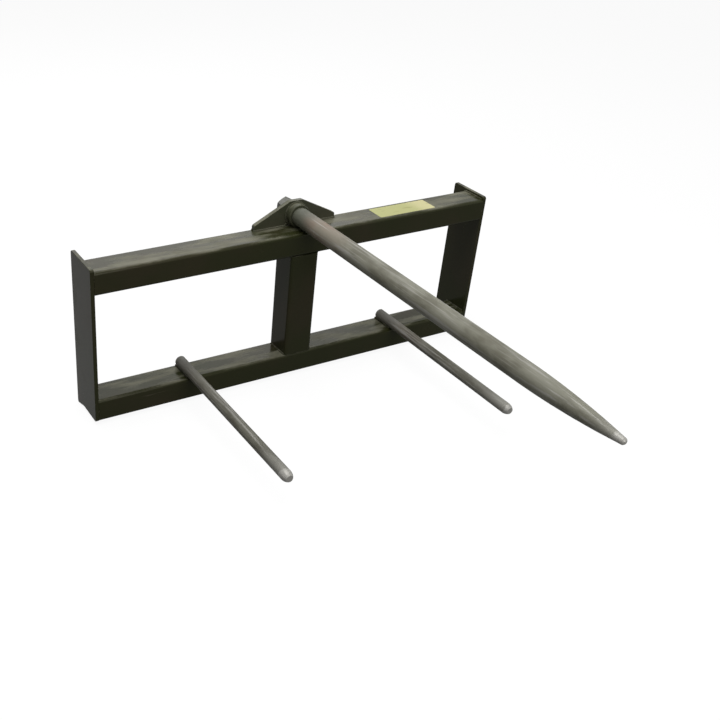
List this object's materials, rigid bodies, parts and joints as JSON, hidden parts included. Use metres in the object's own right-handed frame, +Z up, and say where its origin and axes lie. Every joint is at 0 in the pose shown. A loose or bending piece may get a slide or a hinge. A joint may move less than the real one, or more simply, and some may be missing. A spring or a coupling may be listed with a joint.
{
  "type": "bale spear",
  "caption": "Bale spear for a skid-steer loader: welded tube frame with a long tapered main spear over the top rail and short stabiliser spears on the bottom rail.",
  "frame": {"origin": "middle of the coupler face: the plane of the rear faces of the rails and the upright, half way up the frame, on the centre line", "axes": "+X along the frame, +Y from the spears to the loader, +Z up"},
  "size_m": [1.155, 1.158, 0.4787],
  "materials": {
    "frame_paint": "gloss olive-black powder coat over welded steel",
    "spear_steel": "forged steel under a thin satin grey coat, worn at the tips",
    "fastener_steel": "zinc plated, weathered to a dull grey"
  },
  "bodies": {
    "root": {"top_rail": "frame_paint", "bottom_rail": "frame_paint", "centre_upright": "frame_paint", "left_end_plate": "frame_paint", "right_end_plate": "frame_paint", "hitch_lip": "frame_paint", "left_latch_plate": "frame_paint", "right_latch_plate": "frame_paint", "spear_bracket": "frame_paint", "main_sleeve": "frame_paint", "main_spear": "spear_steel", "left_stabiliser_spear": "spear_steel", "right_stabiliser_spear": "spear_steel", "main_spear_washer": "fastener_steel", "main_spear_nut": "fastener_steel"}
  },
  "joints": []
}
